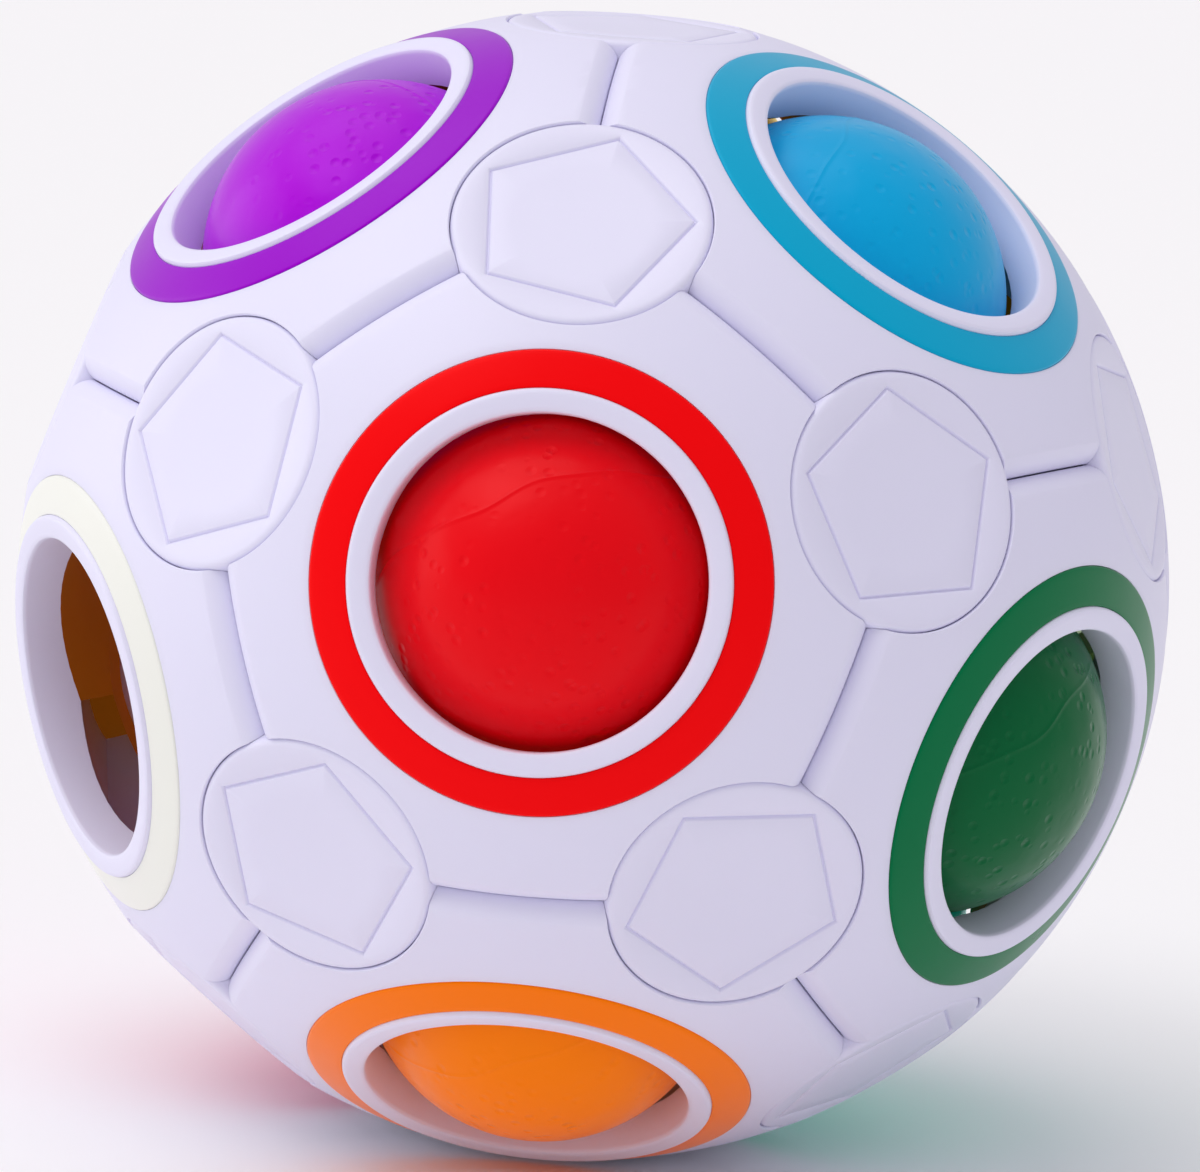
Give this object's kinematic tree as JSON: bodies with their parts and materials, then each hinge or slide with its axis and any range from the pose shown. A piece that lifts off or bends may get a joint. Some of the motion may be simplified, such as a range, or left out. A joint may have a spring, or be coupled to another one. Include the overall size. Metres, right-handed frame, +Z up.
{
  "type": "sliding-ball sphere puzzle",
  "caption": "Hollow sphere of pentagonal panels with round holes, coloured rings and captive coloured balls that slide inside to an empty hole",
  "frame": {"origin": "centre of the sphere", "axes": "+Z up through the centres of the top and bottom caps, -Y toward the red hole in front, +X to the right of the front"},
  "size_m": [0.0694, 0.0697, 0.068],
  "materials": {
    "shell_plastic": "satin moulded ABS",
    "cap_plastic": "satin moulded ABS with an engraved outline",
    "core_rubber": "soft amber elastomer",
    "ring_yellow": "glossy moulded plastic",
    "ball_yellow": "satin plastic",
    "ring_blue": "glossy moulded plastic",
    "ball_blue": "satin plastic",
    "ring_purple": "glossy moulded plastic",
    "ball_purple": "satin plastic",
    "ring_red": "glossy moulded plastic",
    "ball_red": "satin plastic",
    "ring_lime": "glossy moulded plastic",
    "ball_lime": "satin plastic",
    "ring_pink": "glossy moulded plastic",
    "ball_pink": "satin plastic",
    "ring_green": "glossy moulded plastic",
    "ball_green": "satin plastic",
    "ring_ivory": "glossy moulded plastic",
    "ring_navy": "glossy moulded plastic",
    "ball_navy": "satin plastic",
    "ring_orange": "glossy moulded plastic",
    "ball_orange": "satin plastic",
    "ring_magenta": "glossy moulded plastic",
    "ball_magenta": "satin plastic",
    "ring_aqua": "glossy moulded plastic",
    "ball_aqua": "satin plastic"
  },
  "bodies": {
    "shell": {"panel_yellow": "shell_plastic", "panel_blue": "shell_plastic", "panel_purple": "shell_plastic", "panel_red": "shell_plastic", "panel_lime": "shell_plastic", "panel_pink": "shell_plastic", "panel_green": "shell_plastic", "panel_ivory": "shell_plastic", "panel_navy": "shell_plastic", "panel_orange": "shell_plastic", "panel_magenta": "shell_plastic", "panel_aqua": "shell_plastic", "ring_yellow": "ring_yellow", "ring_blue": "ring_blue", "ring_purple": "ring_purple", "ring_red": "ring_red", "ring_lime": "ring_lime", "ring_pink": "ring_pink", "ring_green": "ring_green", "ring_ivory": "ring_ivory", "ring_navy": "ring_navy", "ring_orange": "ring_orange", "ring_magenta": "ring_magenta", "ring_aqua": "ring_aqua", "cap_yellow_blue_purple": "cap_plastic", "cap_yellow_blue_lime": "cap_plastic", "cap_yellow_purple_pink": "cap_plastic", "cap_yellow_lime_navy": "cap_plastic", "cap_yellow_pink_navy": "cap_plastic", "cap_blue_purple_red": "cap_plastic", "cap_blue_red_green": "cap_plastic", "cap_blue_lime_green": "cap_plastic", "cap_purple_red_ivory": "cap_plastic", "cap_purple_pink_ivory": "cap_plastic", "cap_red_green_orange": "cap_plastic", "cap_red_ivory_orange": "cap_plastic", "cap_lime_green_aqua": "cap_plastic", "cap_lime_navy_aqua": "cap_plastic", "cap_pink_ivory_magenta": "cap_plastic", "cap_pink_navy_magenta": "cap_plastic", "cap_green_orange_aqua": "cap_plastic", "cap_ivory_orange_magenta": "cap_plastic", "cap_navy_magenta_aqua": "cap_plastic", "cap_orange_magenta_aqua": "cap_plastic", "elastic_core": "core_rubber"},
    "ball_yellow_body": {"ball_yellow": "ball_yellow"},
    "ball_blue_body": {"ball_blue": "ball_blue"},
    "ball_purple_body": {"ball_purple": "ball_purple"},
    "ball_red_body": {"ball_red": "ball_red"},
    "ball_lime_body": {"ball_lime": "ball_lime"},
    "ball_pink_body": {"ball_pink": "ball_pink"},
    "ball_green_body": {"ball_green": "ball_green"},
    "ball_navy_body": {"ball_navy": "ball_navy"},
    "ball_orange_body": {"ball_orange": "ball_orange"},
    "ball_magenta_body": {"ball_magenta": "ball_magenta"},
    "ball_aqua_body": {"ball_aqua": "ball_aqua"}
  },
  "joints": [
    {"name": "ball_yellow_push", "type": "slide", "parent": "shell", "child": "ball_yellow_body", "axis": [0, -0.6071, -0.7947], "range_m": [0, 0.003], "stiffness_N_per_m": 600, "springref_m": -0.0005, "deforming": ["elastic_core"]},
    {"name": "ball_blue_push", "type": "slide", "parent": "shell", "child": "ball_blue_body", "axis": [-0.5257, 0.3035, -0.7947], "range_m": [0, 0.003], "stiffness_N_per_m": 600, "springref_m": -0.0005, "deforming": ["elastic_core"]},
    {"name": "ball_purple_push", "type": "slide", "parent": "shell", "child": "ball_purple_body", "axis": [0.5257, 0.3035, -0.7947], "range_m": [0, 0.003], "stiffness_N_per_m": 600, "springref_m": -0.0005, "deforming": ["elastic_core"]},
    {"name": "ball_red_transfer", "type": "hinge", "parent": "shell", "child": "ball_red_body", "pos_m": [-0.045, -0.07794, 0], "axis": [-0.309, 0.1784, 0.9342], "range_deg": [0, 21.54], "deforming": ["elastic_core"]},
    {"name": "ball_lime_push", "type": "slide", "parent": "shell", "child": "ball_lime_body", "axis": [-0.8507, -0.4911, -0.1876], "range_m": [0, 0.003], "stiffness_N_per_m": 600, "springref_m": -0.0005, "deforming": ["elastic_core"]},
    {"name": "ball_pink_push", "type": "slide", "parent": "shell", "child": "ball_pink_body", "axis": [0.8507, -0.4911, -0.1876], "range_m": [0, 0.003], "stiffness_N_per_m": 600, "springref_m": -0.0005, "deforming": ["elastic_core"]},
    {"name": "ball_green_push", "type": "slide", "parent": "shell", "child": "ball_green_body", "axis": [-0.8507, 0.4911, 0.1876], "range_m": [0, 0.003], "stiffness_N_per_m": 600, "springref_m": -0.0005, "deforming": ["elastic_core"]},
    {"name": "ball_navy_push", "type": "slide", "parent": "shell", "child": "ball_navy_body", "axis": [0, -0.9822, 0.1876], "range_m": [0, 0.003], "stiffness_N_per_m": 600, "springref_m": -0.0005, "deforming": ["elastic_core"]},
    {"name": "ball_orange_push", "type": "slide", "parent": "shell", "child": "ball_orange_body", "axis": [0, 0.6071, 0.7947], "range_m": [0, 0.003], "stiffness_N_per_m": 600, "springref_m": -0.0005, "deforming": ["elastic_core"]},
    {"name": "ball_magenta_push", "type": "slide", "parent": "shell", "child": "ball_magenta_body", "axis": [0.5257, -0.3035, 0.7947], "range_m": [0, 0.003], "stiffness_N_per_m": 600, "springref_m": -0.0005, "deforming": ["elastic_core"]},
    {"name": "ball_aqua_push", "type": "slide", "parent": "shell", "child": "ball_aqua_body", "axis": [-0.5257, -0.3035, 0.7947], "range_m": [0, 0.003], "stiffness_N_per_m": 600, "springref_m": -0.0005, "deforming": ["elastic_core"]}
  ]
}
